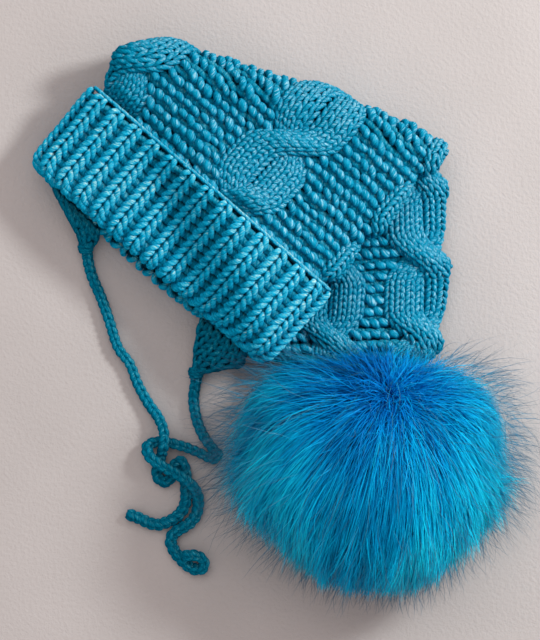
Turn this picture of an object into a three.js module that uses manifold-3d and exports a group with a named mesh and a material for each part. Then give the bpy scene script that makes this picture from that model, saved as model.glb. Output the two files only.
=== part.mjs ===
// A hand-knitted baby hat with ear flaps, tie cords and a fur pompom, laid on a table.
// The hat is one long knitted tube. Its mouth end wears a turned-up ribbed cuff, its far end is
// gathered into the pompom, and the tube is folded back under itself along a slanting ridge.
//
// Units are millimetres and +Z is up. Shapes are first worked out in table coordinates
// (x to the right, y away from the viewer, z up from the table), then the whole group is moved so
// that the origin is under the middle of the hat.
//
// The tube is described in its own flat frame: t runs across it, w runs along it from the cuff's
// top edge towards the pompom, and q is the height over its middle plane. A place round the tube is
// a share from -1 to 1: 0 is the right side edge, negative shares are the front (upper) layer,
// positive shares the back layer, and both -1 and 1 are the left side edge.
import * as THREE from "three";
import { mergeVertices } from "three/addons/utils/BufferGeometryUtils.js";
import Module from "manifold-3d";

const wasm = await Module();
wasm.setup();

const HAT_MIDDLE = { x: 164.8, y: -191.8 };

// The tube's frame on the table, and the ridge that it is folded along.
const CUFF_MIDDLE = new THREE.Vector2(124.5, -115.5);
const AXIS_ANGLE = THREE.MathUtils.degToRad(49.1);
const RIDGE_ANGLE = THREE.MathUtils.degToRad(-19.1);
const RIDGE_LEFT = new THREE.Vector2(93, -22.8);
const ALONG_TUBE = new THREE.Vector2(Math.cos(AXIS_ANGLE), Math.sin(AXIS_ANGLE));
const ACROSS_TUBE = new THREE.Vector2(Math.sin(AXIS_ANGLE), -Math.cos(AXIS_ANGLE));
const PAST_RIDGE = new THREE.Vector2(-Math.sin(RIDGE_ANGLE), Math.cos(RIDGE_ANGLE));

const FOLD_RADIUS = 11;
const FOLD_ARC = Math.PI * FOLD_RADIUS;
const FOLD_REACH = 18;
const FOLD_PINCH = 0.24;
const PINCH_FADE = 25;
const LEVEL_FADE = 35;

// The tube's side edges and half height at each place along it.
const TUBE = [
  { w: -60, left: -86, right: 87, half: 12.0 },
  { w: 0, left: -87, right: 88.5, half: 12.5 },
  { w: 42, left: -88, right: 89.4, half: 12.0 },
  { w: 75, left: -79, right: 89.4, half: 11.8 },
  { w: 110, left: -68, right: 88.4, half: 11.5 },
  { w: 132, left: -62, right: 82.5, half: 10.5 },
  { w: 200, left: -42, right: 80.5, half: 9.0 },
  { w: 232, left: -32, right: 76.5, half: 9.5 },
  { w: 246, left: -12, right: 71.0, half: 11.0 },
  { w: 256, left: 22, right: 66.0, half: 12.0 },
  { w: 264, left: 34, right: 58.0, half: 11.0 },
];
const EDGE_POWER = 0.625;
const WALL = 5;
const SIDE_WALL = 7;
const MOUTH_W = -49;
const TUBE_END_W = 262;
// How much further the back layer of the mouth sticks out than the front one.
const BACK_SLIDE = 5;
const INNER_END_W = 254;

// The cables and the garter panels between them, by the share round the tube where each one ends.
const PANELS = [
  { w: 110, c1: -0.838, g1: -0.539, c2: -0.276, g2: -0.054, c3: 0.209, g3: 0.451, c4: 0.72, g4: 0.892 },
  { w: 165, c1: -0.75, g1: -0.527, c2: -0.183, g2: -0.094, c3: 0.263, g3: 0.353, c4: 0.67, g4: 0.893 },
  { w: 247, c1: -0.7, g1: -0.615, c2: -0.184, g2: -0.117, c3: 0.318, g3: 0.419, c4: 0.81, g4: 0.894 },
];
// Each cable is two strands that swap sides: where along the tube one swap is, and which way the
// upper strand goes over the lower one.
const CABLES = [
  { from: "g4", to: "c1", swap: 30, way: 1 },
  { from: "g1", to: "c2", swap: 54, way: 1 },
  { from: "g2", to: "c3", swap: 186.4, way: -1 },
  { from: "g3", to: "c4", swap: 187, way: -1 },
];
const SWAP_PITCH = 48;
const SWAP_LENGTH = 32;
const STRAND_RISE = 2.4;
const OVER_RISE = 2.0;
const UNDER_DROP = 0.8;
const STRAND_HALF = 0.56;
const RELIEF_START_W = 4;
const RELIEF_FULL_W = 14;

// How the upper layers lie on the tail that is folded under them.
const TAIL_SIDE = { x: 93, y: -22.8, angle: THREE.MathUtils.degToRad(-71.7) };
const TAIL_STACK = 23.5;
const LIFT_START = -30;
const LIFT_FULL = 12;
const TAIL_SETTLE = 0.5;
const TAIL_END_RISE = 17;

// The ribbed cuff round the mouth.
const CUFF_THICKNESS = 6.5;
const CUFF_GAP = 0.5;
const RIBS = 28;
const RIB_RISE = 1.1;
const CUFF_TOP_W = 1;
const CUFF_REST = 7.4;

const CORD_DIAMETER = 6.2;
const FLAP_THICKNESS = 5;

const YARN = new THREE.Color(0.05, 0.38, 0.53);
const FUR = new THREE.Color(0.0, 0.3, 0.62);

const mix = (a, b, share) => a + (b - a) * share;
const bell = (x, width) => Math.exp(-((x / width) ** 2));
const smooth = (low, high, x) => {
  const s = THREE.MathUtils.clamp((x - low) / (high - low), 0, 1);
  return s * s * (3 - 2 * s);
};

// A column of a table at a place w, on a smooth curve through its rows.
function column(table, name, w) {
  const last = table.length - 1;
  if (w <= table[0].w) return table[0][name];
  if (w >= table[last].w) return table[last][name];
  const i = table.findIndex((row) => row.w > w) - 1;
  const slope = (k) => {
    const a = table[Math.max(k - 1, 0)];
    const b = table[Math.min(k + 1, last)];
    return (b[name] - a[name]) / (b.w - a.w);
  };
  const span = table[i + 1].w - table[i].w;
  const s = (w - table[i].w) / span;
  return (
    table[i][name] * (1 + 2 * s) * (1 - s) ** 2 +
    table[i + 1][name] * s * s * (3 - 2 * s) +
    slope(i) * span * s * (1 - s) ** 2 +
    slope(i + 1) * span * s * s * (s - 1)
  );
}

function flatPlace(t, w) {
  return CUFF_MIDDLE.clone().addScaledVector(ACROSS_TUBE, t).addScaledVector(ALONG_TUBE, w);
}

// How far a flat place is past the line where the fold begins.
function pastFold(place) {
  return place.clone().sub(RIDGE_LEFT).dot(PAST_RIDGE) + FOLD_REACH;
}

// The share of its height that the tube keeps where the fold presses it flat.
function pressed(past) {
  const away = Math.max(-past, past - FOLD_ARC, 0);
  return 1 - FOLD_PINCH * bell(away, PINCH_FADE);
}

// The height of the tail's middle plane over the table.
function tailLevel(w, past) {
  const half = column(TUBE, "half", w) * pressed(past);
  return half - TAIL_SETTLE + TAIL_END_RISE * smooth(222, 262, w);
}

// The height of the hat's body over the table: it lies partly on the tail and partly on the table.
function bodyLevel(place, w, past) {
  const inside =
    (place.x - TAIL_SIDE.x) * -Math.sin(TAIL_SIDE.angle) +
    (place.y - TAIL_SIDE.y) * Math.cos(TAIL_SIDE.angle);
  const lift = TAIL_STACK * smooth(LIFT_START, LIFT_FULL, inside);
  const half = column(TUBE, "half", w) * pressed(past);
  const free = half - TAIL_SETTLE + CUFF_REST * smooth(45, CUFF_TOP_W, w) + lift;
  const folded = tailLevel(w, FOLD_ARC) + 2 * FOLD_RADIUS;
  return mix(free, folded, bell(past, LEVEL_FADE));
}

// A point of the tube's flat frame, put where the laid and folded tube has it.
function laid(t, w, q) {
  const place = flatPlace(t, w);
  const past = pastFold(place);
  const height = q * pressed(past);
  if (past <= 0) return new THREE.Vector3(place.x, place.y, bodyLevel(place, w, past) + height);
  const start = place.clone().addScaledVector(PAST_RIDGE, -past);
  if (past < FOLD_ARC) {
    const turn = past / FOLD_RADIUS;
    const radius = FOLD_RADIUS + height;
    const centre = tailLevel(w, FOLD_ARC) + FOLD_RADIUS;
    start.addScaledVector(PAST_RIDGE, radius * Math.sin(turn));
    return new THREE.Vector3(start.x, start.y, centre + radius * Math.cos(turn));
  }
  start.addScaledVector(PAST_RIDGE, FOLD_ARC - past);
  return new THREE.Vector3(start.x, start.y, tailLevel(w, past) - height);
}

// Places evenly spaced round a flattened tube, as the angle that its outline formula takes.
const ROUND_STEPS = 3000;
const outlineLengths = new Map();
function outlineAngle(a, b, share) {
  const key = `${a.toFixed(3)} ${b.toFixed(3)}`;
  if (!outlineLengths.has(key)) {
    const lengths = [0];
    let before = outlinePoint(a, b, 0);
    for (let i = 1; i <= ROUND_STEPS; i++) {
      const next = outlinePoint(a, b, (Math.PI * i) / ROUND_STEPS);
      lengths.push(lengths[i - 1] + Math.hypot(next.t - before.t, next.q - before.q));
      before = next;
    }
    outlineLengths.set(key, lengths);
  }
  const lengths = outlineLengths.get(key);
  const wanted = Math.abs(share) * lengths[ROUND_STEPS];
  let low = 0;
  let high = ROUND_STEPS;
  while (high - low > 1) {
    const middle = (low + high) >> 1;
    if (lengths[middle] < wanted) low = middle;
    else high = middle;
  }
  const part = (wanted - lengths[low]) / Math.max(lengths[high] - lengths[low], 1e-9);
  return (Math.PI * (low + part)) / ROUND_STEPS;
}

function outlinePoint(a, b, angle) {
  const c = Math.cos(angle);
  return { t: a * Math.sign(c) * Math.abs(c) ** EDGE_POWER, q: b * Math.sin(angle) };
}

function backSlide(share, w) {
  return BACK_SLIDE * share * smooth(5, MOUTH_W, w);
}

// A point round the tube: wider and taller than the tube itself by the two grow values.
function tubePoint(share, w, growWide, growTall) {
  const left = column(TUBE, "left", w);
  const right = column(TUBE, "right", w);
  const a = (right - left) / 2 + growWide;
  const b = column(TUBE, "half", w) + growTall;
  const at = outlinePoint(a, b, outlineAngle(a, b, share));
  const slide = backSlide(Math.sin(Math.PI * Math.max(share, 0)), w);
  const point = laid((left + right) / 2 + at.t, w - slide, share <= 0 ? at.q : -at.q);
  point.z = Math.max(point.z, 0);
  return point;
}

// The places of a cable's two strands at w, from -1 to 1 across the cable, and how high each lies.
function strandsAt(cable, w) {
  const swaps = Math.round((w - cable.swap) / SWAP_PITCH);
  const after = w - cable.swap - swaps * SWAP_PITCH;
  const across = smooth(-SWAP_LENGTH / 2, SWAP_LENGTH / 2, after) - 0.5;
  const crossing = bell(after, SWAP_LENGTH / 2.6);
  return [
    { across: across * cable.way, rise: STRAND_RISE + OVER_RISE * crossing },
    { across: -across * cable.way, rise: STRAND_RISE - UNDER_DROP * crossing },
  ];
}

// How much a cable stands out at a place: the higher of its two strands there.
function cableRise(share, w) {
  let rise = 0;
  for (const cable of CABLES) {
    const from = column(PANELS, cable.from, w);
    let to = column(PANELS, cable.to, w);
    let at = share;
    if (to < from) {
      to += 2;
      if (at < from) at += 2;
    }
    const across = ((at - from) / (to - from)) * 2 - 1;
    if (Math.abs(across) > 1) continue;
    for (const strand of strandsAt(cable, w)) {
      const round = Math.max(0, 1 - ((across - strand.across) / STRAND_HALF) ** 2);
      rise = Math.max(rise, strand.rise * Math.sqrt(round));
    }
  }
  return rise * smooth(RELIEF_START_W, RELIEF_FULL_W, w) * smooth(258, 236, w);
}

// Rings of points joined into one closed surface. Rings may have different numbers of points.
function closedSurface(rings, startPoint, endPoint) {
  const points = [];
  const faces = [];
  const firsts = rings.map((ring) => {
    const first = points.length;
    points.push(...ring);
    return first;
  });
  for (let k = 0; k + 1 < rings.length; k++) bridge(rings, firsts, k, k + 1, faces);
  if (startPoint) {
    points.push(startPoint, endPoint);
    const hub = points.length - 2;
    const lastRing = rings.length - 1;
    const lastSize = rings[lastRing].length;
    rings[0].forEach((_, i) => faces.push(hub, firsts[0] + ((i + 1) % rings[0].length), firsts[0] + i));
    rings[lastRing].forEach((_, i) =>
      faces.push(hub + 1, firsts[lastRing] + i, firsts[lastRing] + ((i + 1) % lastSize)),
    );
  } else bridge(rings, firsts, rings.length - 1, 0, faces);
  const made = new THREE.BufferGeometry();
  made.setAttribute("position", new THREE.Float32BufferAttribute(points.flatMap((p) => p.toArray()), 3));
  made.setIndex(faces);
  return facingOut(made);
}

function bridge(rings, firsts, k, next, faces) {
  const n = rings[k].length;
  const m = rings[next].length;
  let i = 0;
  let j = 0;
  while (i < n || j < m) {
    const a = firsts[k] + (i % n);
    const b = firsts[next] + (j % m);
    if (j >= m || (i < n && (i + 1) / n <= (j + 1) / m)) {
      i++;
      faces.push(a, firsts[k] + (i % n), b);
    } else {
      j++;
      faces.push(a, firsts[next] + (j % m), b);
    }
  }
}

function solidFrom(geometry) {
  const bare = new THREE.BufferGeometry();
  bare.setAttribute("position", geometry.getAttribute("position"));
  if (geometry.index) bare.setIndex(geometry.index);
  const merged = mergeVertices(bare, 1e-3);
  return new wasm.Manifold(
    new wasm.Mesh({
      numProp: 3,
      vertProperties: new Float32Array(merged.attributes.position.array),
      triVerts: new Uint32Array(merged.index.array),
    }),
  );
}

function geometryFrom(solid) {
  const mesh = solid.getMesh();
  const made = new THREE.BufferGeometry();
  made.setAttribute("position", new THREE.Float32BufferAttribute(mesh.vertProperties, 3));
  made.setIndex([...mesh.triVerts]);
  return made;
}

function facingOut(geometry) {
  if (solidFrom(geometry).volume() > 0) return geometry;
  const index = geometry.index.array;
  for (let i = 0; i < index.length; i += 3) [index[i + 1], index[i + 2]] = [index[i + 2], index[i + 1]];
  return geometry;
}

const shares = (count) => Array.from({ length: count }, (_, i) => -1 + (2 * i) / count);

function steps(from, to, count) {
  return Array.from({ length: count }, (_, i) => mix(from, to, i / count));
}

// The places along the tube where its rings of points lie, closest together in the fold.
const CUFFED_W = [MOUTH_W, -37, -25, -13, CUFF_TOP_W];
const OUTER_W = [
  ...CUFFED_W,
  ...steps(8, 24, 2),
  ...steps(24, 150, 17),
  ...steps(150, 236, 6),
  ...steps(236, TUBE_END_W, 4),
  TUBE_END_W,
];
const INNER_W = [
  ...CUFFED_W,
  ...steps(12, 150, 14),
  ...steps(150, 236, 4),
  ...steps(236, INNER_END_W, 2),
  INNER_END_W,
];
const OUTER_ROUND = 52;
const INNER_ROUND = 26;

function outerRing(w, grow, round = OUTER_ROUND) {
  return shares(round).map((share) => {
    const rise = cableRise(share, w) + grow;
    return tubePoint(share, w, rise, rise);
  });
}

function innerRing(w, shrink) {
  return shares(INNER_ROUND).map((share) => tubePoint(share, w, -SIDE_WALL - shrink, -WALL - shrink));
}

function middleOf(ring) {
  const sum = ring.reduce((total, p) => total.add(p), new THREE.Vector3());
  return sum.divideScalar(ring.length);
}

// The crown is the whole tube: a wall that is open at the mouth and closed where it is gathered.
function crown() {
  const inner = [...INNER_W].reverse().map((w) => innerRing(w, 0));
  const outer = OUTER_W.map((w) => outerRing(w, 0));
  return closedSurface([...inner, ...outer], middleOf(inner[0]), middleOf(outer[outer.length - 1]));
}

// The crown's outside, filled and a little larger, to cut a seat for it in what it touches.
function crownSpace(grow) {
  const outer = [...OUTER_W.slice(0, -1), TUBE_END_W + grow].map((w) => outerRing(w, grow));
  const made = closedSurface(outer, middleOf(outer[0]), middleOf(outer[outer.length - 1]));
  return solidFrom(made);
}

// The cuff's cut across: from its top edge down the outside, round the mouth, and up the inside.
const CUFF_SECTION = [
  { w: CUFF_TOP_W, wide: 4.2, tall: 4.2, rib: 0.5 },
  { w: -2, wide: CUFF_THICKNESS, tall: CUFF_THICKNESS, rib: 0.9 },
  { w: -13, wide: CUFF_THICKNESS, tall: CUFF_THICKNESS, rib: 1 },
  { w: -25, wide: CUFF_THICKNESS, tall: CUFF_THICKNESS, rib: 1 },
  { w: -37, wide: CUFF_THICKNESS, tall: CUFF_THICKNESS, rib: 1 },
  { w: -49, wide: CUFF_THICKNESS, tall: CUFF_THICKNESS, rib: 1 },
  { w: -54.5, wide: 3.6, tall: 4.0, rib: 0.9 },
  { w: -56, wide: -1.5, tall: -0.5, rib: 0.6 },
  { w: -53, wide: -6.6, tall: -4.6, rib: 0.3 },
  { w: MOUTH_W - CUFF_GAP, wide: -SIDE_WALL - CUFF_GAP, tall: -WALL - CUFF_GAP, rib: 0 },
  { w: MOUTH_W - CUFF_GAP, wide: CUFF_GAP, tall: CUFF_GAP, rib: 0 },
  { w: -37, wide: CUFF_GAP, tall: CUFF_GAP, rib: 0 },
  { w: -25, wide: CUFF_GAP, tall: CUFF_GAP, rib: 0 },
  { w: -13, wide: CUFF_GAP, tall: CUFF_GAP, rib: 0 },
  { w: CUFF_TOP_W, wide: CUFF_GAP, tall: CUFF_GAP, rib: 0 },
];
const POINTS_PER_RIB = 3;

function cuff() {
  const rings = CUFF_SECTION.map((row) =>
    shares(row.rib ? RIBS * POINTS_PER_RIB : OUTER_ROUND).map((share) => {
      const rib = row.rib * RIB_RISE * Math.cos(Math.PI * RIBS * share);
      return tubePoint(share, row.w, row.wide + rib, row.tall + rib);
    }),
  );
  return closedSurface(rings);
}

// An ear flap is a tongue of knitting, given by its two side edges from the cuff to its tip.
const FLAP_SECTION = [
  { across: 0, side: 0 },
  { across: 0.1, side: 1 },
  { across: 0.37, side: 1 },
  { across: 0.63, side: 1 },
  { across: 0.9, side: 1 },
  { across: 1, side: 0 },
  { across: 0.9, side: -1 },
  { across: 0.63, side: -1 },
  { across: 0.37, side: -1 },
  { across: 0.1, side: -1 },
];
const LEFT_FLAP = [
  { leftT: -72, leftW: -58.2, leftZ: 14.5, rightT: -36, rightW: -60.5, rightZ: 8 },
  { leftT: -64, leftW: -62.0, leftZ: 16.5, rightT: -33.2, rightW: -62.4, rightZ: 7 },
  { leftT: -54, leftW: -66.0, leftZ: 14.5, rightT: -31.8, rightW: -64.6, rightZ: 6 },
  { leftT: -44, leftW: -70.0, leftZ: 10.5, rightT: -31.2, rightW: -68.4, rightZ: 5 },
  { leftT: -38, leftW: -73.6, leftZ: 6.4, rightT: -31.4, rightW: -71.6, rightZ: 4.6 },
];
const RIGHT_FLAP = [
  { leftT: 47, leftW: -60.0, leftZ: 9, rightT: 81, rightW: -57.4, rightZ: 26 },
  { leftT: 50, leftW: -66, leftZ: 9.5, rightT: 82.5, rightW: -66, rightZ: 22.5 },
  { leftT: 54, leftW: -74, leftZ: 8.5, rightT: 76.4, rightW: -74, rightZ: 16.5 },
  { leftT: 58.9, leftW: -80.8, leftZ: 6.8, rightT: 71.5, rightW: -80.8, rightZ: 10.5 },
  { leftT: 62.5, leftW: -86, leftZ: 4.8, rightT: 67.5, rightW: -86, rightZ: 5.6 },
];

function flap(rows) {
  const rings = rows.map((row) => {
    const leftPlace = flatPlace(row.leftT, row.leftW);
    const rightPlace = flatPlace(row.rightT, row.rightW);
    const left = new THREE.Vector3(leftPlace.x, leftPlace.y, row.leftZ);
    const across = new THREE.Vector3(rightPlace.x, rightPlace.y, row.rightZ).sub(left);
    const up = new THREE.Vector3(0, 0, 1).addScaledVector(across, -across.z / across.lengthSq()).normalize();
    return FLAP_SECTION.map((at) =>
      left
        .clone()
        .addScaledVector(across, at.across)
        .addScaledVector(up, (at.side * FLAP_THICKNESS) / 2),
    );
  });
  return closedSurface(rings, middleOf(rings[0]), middleOf(rings[rings.length - 1]));
}

// The tie cords, knitted in the round. Each lies on the table, and one crosses over the other.
const LEFT_CORD = [
  { x: 51.4, y: -149.9, z: 4.4 },
  { x: 52.0, y: -156, z: 3.6 },
  { x: 54.6, y: -166, z: 3.2 },
  { x: 59.8, y: -178.2, z: 3.2 },
  { x: 65.1, y: -193.2, z: 3.2 },
  { x: 70.2, y: -208.8, z: 3.2 },
  { x: 77.2, y: -218.4, z: 3.2 },
  { x: 82, y: -230.6, z: 3.2 },
  { x: 88.6, y: -242.6, z: 3.2 },
  { x: 94.8, y: -251.4, z: 5.2 },
  { x: 98, y: -259.6, z: 9.2 },
  { x: 98, y: -266.8, z: 10.2 },
  { x: 96.4, y: -273.8, z: 5.0 },
  { x: 94, y: -280.6, z: 3.2 },
  { x: 94, y: -286.9, z: 3.2 },
  { x: 98.4, y: -290, z: 3.2 },
  { x: 102.6, y: -286.6, z: 3.2 },
  { x: 104.2, y: -280.2, z: 3.2 },
  { x: 107.8, y: -277.2, z: 3.2 },
  { x: 110.8, y: -283, z: 3.2 },
  { x: 111, y: -292, z: 3.2 },
  { x: 111.2, y: -300, z: 3.2 },
  { x: 109.6, y: -306, z: 3.2 },
  { x: 105.2, y: -311.2, z: 3.2 },
  { x: 99.6, y: -314.2, z: 3.2 },
  { x: 93.4, y: -315.8, z: 3.2 },
  { x: 87.4, y: -314, z: 3.2 },
  { x: 82.4, y: -311.6, z: 3.2 },
  { x: 75.6, y: -309.2, z: 3.2 },
];
const RIGHT_CORD = [
  { x: 118, y: -225.2, z: 4.8 },
  { x: 116.6, y: -232.6, z: 3.6 },
  { x: 115.8, y: -239.4, z: 3.2 },
  { x: 116.6, y: -247, z: 3.2 },
  { x: 118.6, y: -255, z: 3.2 },
  { x: 122.2, y: -262.8, z: 3.2 },
  { x: 127, y: -269.2, z: 3.2 },
  { x: 130.6, y: -273.8, z: 3.2 },
  { x: 127.8, y: -276.2, z: 3.2 },
  { x: 120.4, y: -272.8, z: 3.2 },
  { x: 110.6, y: -268.8, z: 3.2 },
  { x: 100.6, y: -266.2, z: 3.2 },
  { x: 93.2, y: -265.6, z: 3.4 },
  { x: 88, y: -268.4, z: 5.8 },
  { x: 89.4, y: -274.2, z: 9.8 },
  { x: 96, y: -279.4, z: 10.6 },
  { x: 103.4, y: -283.6, z: 10.2 },
  { x: 111, y: -288.2, z: 10 },
  { x: 116.6, y: -293.8, z: 7.2 },
  { x: 118.6, y: -300.4, z: 3.6 },
  { x: 118, y: -307.4, z: 3.2 },
  { x: 115, y: -313.4, z: 3.2 },
  { x: 109.2, y: -317.6, z: 3.2 },
  { x: 103.8, y: -321, z: 3.2 },
  { x: 102, y: -325.8, z: 3.2 },
  { x: 104.2, y: -331.6, z: 3.2 },
  { x: 109.6, y: -338, z: 3.2 },
  { x: 116, y: -342.6, z: 3.2 },
  { x: 121.6, y: -341.6, z: 4.2 },
  { x: 121.8, y: -336.8, z: 6.2 },
  { x: 117.4, y: -334, z: 8.4 },
  { x: 108.2, y: -334.4, z: 10 },
];
const CORD_STEPS = 50;
const CORD_SIDES = 8;

function cordRoute(rows) {
  return new THREE.CatmullRomCurve3(rows.map((p) => new THREE.Vector3(p.x, p.y, p.z)), false, "centripetal");
}

function cord(rows) {
  const section = new THREE.Shape();
  for (let i = 0; i < CORD_SIDES; i++) {
    const angle = (2 * Math.PI * (i + 0.5)) / CORD_SIDES;
    const x = (CORD_DIAMETER / 2) * Math.cos(angle);
    const y = (CORD_DIAMETER / 2) * Math.sin(angle);
    if (i) section.lineTo(x, y);
    else section.moveTo(x, y);
  }
  return new THREE.ExtrudeGeometry(section, { steps: CORD_STEPS, extrudePath: cordRoute(rows) });
}

// The pompom: a padded head, with locks of fur that sweep away from where it is tied to the hat.
const POMPOM = { x: 225, y: -281, z: 43, wide: 68, deep: 64, tall: 47 };
const FUR_ROOT = new THREE.Vector3(0.12, 0.74, 0.66).normalize();
const LOCKS = 44;
const LOCK_SIDES = 5;
const LOCK_WIDTH = 16;
const BARE_AT_ROOT = 0.72;
const LOCK_ROWS = [
  { along: 0, reach: -8, width: 1 },
  { along: 0.55, reach: 8, width: 0.8 },
];

function lock(number) {
  const height = 1 - (2 * (number + 0.5)) / LOCKS;
  const turn = number * Math.PI * (3 - Math.sqrt(5));
  const ring = Math.sqrt(1 - height * height);
  const out = new THREE.Vector3(ring * Math.cos(turn), ring * Math.sin(turn), height * 0.9).normalize();
  if (out.dot(FUR_ROOT) > BARE_AT_ROOT) return null;
  const sweep = out.clone().addScaledVector(FUR_ROOT, -0.9).normalize();
  const tipReach = 19 + 5 * Math.sin(number * 2.4);
  const middle = new THREE.Vector3(POMPOM.x, POMPOM.y, POMPOM.z);
  const at = (along, reach) => {
    const way = out.clone().lerp(sweep, along * 0.55).normalize();
    return new THREE.Vector3(
      way.x * (POMPOM.wide + reach),
      way.y * (POMPOM.deep + reach),
      way.z * (POMPOM.tall + reach * 0.6),
    ).add(middle);
  };
  const side = new THREE.Vector3().crossVectors(out, sweep).normalize();
  const thick = new THREE.Vector3().crossVectors(side, sweep).normalize();
  const rings = LOCK_ROWS.map((row) =>
    Array.from({ length: LOCK_SIDES }, (_, i) => {
      const angle = (2 * Math.PI * i) / LOCK_SIDES;
      return at(row.along, row.reach)
        .addScaledVector(side, LOCK_WIDTH * row.width * Math.cos(angle))
        .addScaledVector(thick, LOCK_WIDTH * 0.6 * row.width * Math.sin(angle));
    }),
  );
  return solidFrom(closedSurface(rings, middleOf(rings[0]), at(1, tipReach)));
}

function pompom(clearOf) {
  const head = new THREE.SphereGeometry(1, 20, 12);
  head.deleteAttribute("normal");
  head.deleteAttribute("uv");
  head.rotateX(Math.PI / 2).scale(POMPOM.wide, POMPOM.deep, POMPOM.tall);
  head.translate(POMPOM.x, POMPOM.y, POMPOM.z);
  let solid = solidFrom(head);
  for (let i = 0; i < LOCKS; i++) {
    const piece = lock(i);
    if (piece) solid = solid.add(piece);
  }
  const table = new THREE.BoxGeometry(600, 600, 100).translate(POMPOM.x, POMPOM.y, -50);
  table.deleteAttribute("normal");
  table.deleteAttribute("uv");
  solid = solid.subtract(solidFrom(table));
  for (const space of clearOf) solid = solid.subtract(space);
  const parts = solid.decompose().sort((a, b) => b.volume() - a.volume());
  return geometryFrom(parts[0]);
}

const hat = new THREE.Group();
hat.position.set(-HAT_MIDDLE.x, -HAT_MIDDLE.y, 0);

function add(name, geometry, color, roughness) {
  const mesh = new THREE.Mesh(geometry, new THREE.MeshStandardMaterial({ color, roughness, metalness: 0 }));
  mesh.name = name;
  hat.add(mesh);
}

add("crown", crown(), YARN, 0.9);
add("ribbed_cuff", cuff(), YARN, 0.9);
add("ear_flap_left", flap(LEFT_FLAP), YARN, 0.9);
add("ear_flap_right", flap(RIGHT_FLAP), YARN, 0.9);
add("tie_cord_left", cord(LEFT_CORD), YARN, 0.9);
add("tie_cord_right", cord(RIGHT_CORD), YARN, 0.9);
add("pompom", pompom([crownSpace(0.6)]), FUR, 0.6);

export default hat;
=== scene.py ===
"""A hand-knitted baby hat with ear flaps, tie cords and a fur pompom, lying folded on a pale surface.

Shapes are worked out in millimetres on the table (x right, y away, z up) and moved by HAT_MIDDLE and
scaled to metres when a mesh is made. The knitting is laid stitch by stitch on the hat's skin, which
is the same folded tube as the solid model's: a share round the tube from -1 to 1 (0 is the right
side edge, below 0 the front layer, above 0 the back layer) and w along it, from the cuff's top edge
to the pompom.
"""
import math

import bpy
import numpy as np
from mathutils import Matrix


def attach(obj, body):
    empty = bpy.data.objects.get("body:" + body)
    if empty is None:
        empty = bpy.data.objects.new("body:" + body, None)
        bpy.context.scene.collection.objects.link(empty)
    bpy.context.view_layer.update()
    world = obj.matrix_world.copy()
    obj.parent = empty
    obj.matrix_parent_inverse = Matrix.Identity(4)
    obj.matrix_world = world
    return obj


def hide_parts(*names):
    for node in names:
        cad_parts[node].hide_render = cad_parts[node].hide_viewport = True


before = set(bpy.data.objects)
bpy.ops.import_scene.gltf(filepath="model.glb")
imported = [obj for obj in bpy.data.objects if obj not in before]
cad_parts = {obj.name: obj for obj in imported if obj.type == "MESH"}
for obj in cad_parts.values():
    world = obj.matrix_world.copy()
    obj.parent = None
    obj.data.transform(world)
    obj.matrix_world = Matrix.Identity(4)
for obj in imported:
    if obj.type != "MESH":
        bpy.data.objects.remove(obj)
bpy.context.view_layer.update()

MM = 0.001
HAT_MIDDLE = np.array([164.8, -191.8, 0.0])
PIXEL = 0.6
PHOTO_SIZE = (540, 640)
rng = np.random.default_rng(7)

# The folded tube
CUFF_MIDDLE = np.array([124.5, -115.5])
AXIS_ANGLE = math.radians(49.1)
RIDGE_ANGLE = math.radians(-19.1)
RIDGE_LEFT = np.array([93.0, -22.8])
ALONG_TUBE = np.array([math.cos(AXIS_ANGLE), math.sin(AXIS_ANGLE)])
ACROSS_TUBE = np.array([math.sin(AXIS_ANGLE), -math.cos(AXIS_ANGLE)])
PAST_RIDGE = np.array([-math.sin(RIDGE_ANGLE), math.cos(RIDGE_ANGLE)])

FOLD_RADIUS = 11.0
FOLD_ARC = math.pi * FOLD_RADIUS
FOLD_REACH = 18.0
FOLD_PINCH = 0.24
PINCH_FADE = 25.0
LEVEL_FADE = 35.0

TUBE = [
    dict(w=-60, left=-86, right=87, half=12.0),
    dict(w=0, left=-87, right=88.5, half=12.5),
    dict(w=42, left=-88, right=89.4, half=12.0),
    dict(w=75, left=-79, right=89.4, half=11.8),
    dict(w=110, left=-68, right=88.4, half=11.5),
    dict(w=132, left=-62, right=82.5, half=10.5),
    dict(w=200, left=-42, right=80.5, half=9.0),
    dict(w=232, left=-32, right=76.5, half=9.5),
    dict(w=246, left=-12, right=71.0, half=11.0),
    dict(w=256, left=22, right=66.0, half=12.0),
    dict(w=264, left=34, right=58.0, half=11.0),
]
EDGE_POWER = 0.625
WALL = 5.0
SIDE_WALL = 7.0
MOUTH_W = -49.0
TUBE_END_W = 262.0
BACK_SLIDE = 5.0

PANELS = [
    dict(w=110, c1=-0.838, g1=-0.539, c2=-0.276, g2=-0.054, c3=0.209, g3=0.451, c4=0.72, g4=0.892),
    dict(w=165, c1=-0.75, g1=-0.527, c2=-0.183, g2=-0.094, c3=0.263, g3=0.353, c4=0.67, g4=0.893),
    dict(w=247, c1=-0.7, g1=-0.615, c2=-0.184, g2=-0.117, c3=0.318, g3=0.419, c4=0.81, g4=0.894),
]
CABLES = [
    dict(start="g4", end="c1", swap=30.0, way=1),
    dict(start="g1", end="c2", swap=54.0, way=1),
    dict(start="g2", end="c3", swap=186.4, way=-1),
    dict(start="g3", end="c4", swap=187.0, way=-1),
]
SWAP_PITCH = 48.0
SWAP_LENGTH = 32.0
STRAND_RISE = 2.4
OVER_RISE = 2.0
UNDER_DROP = 0.8
STRAND_HALF = 0.56

TAIL_SIDE = np.array([93.0, -22.8])
TAIL_SIDE_ANGLE = math.radians(-71.7)
TAIL_STACK = 23.5
LIFT_START = -30.0
LIFT_FULL = 12.0
TAIL_SETTLE = 0.5
TAIL_END_RISE = 17.0
CUFF_TOP_W = 1.0
CUFF_REST = 7.4


def mix(a, b, share):
    return a + (b - a) * share


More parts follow.
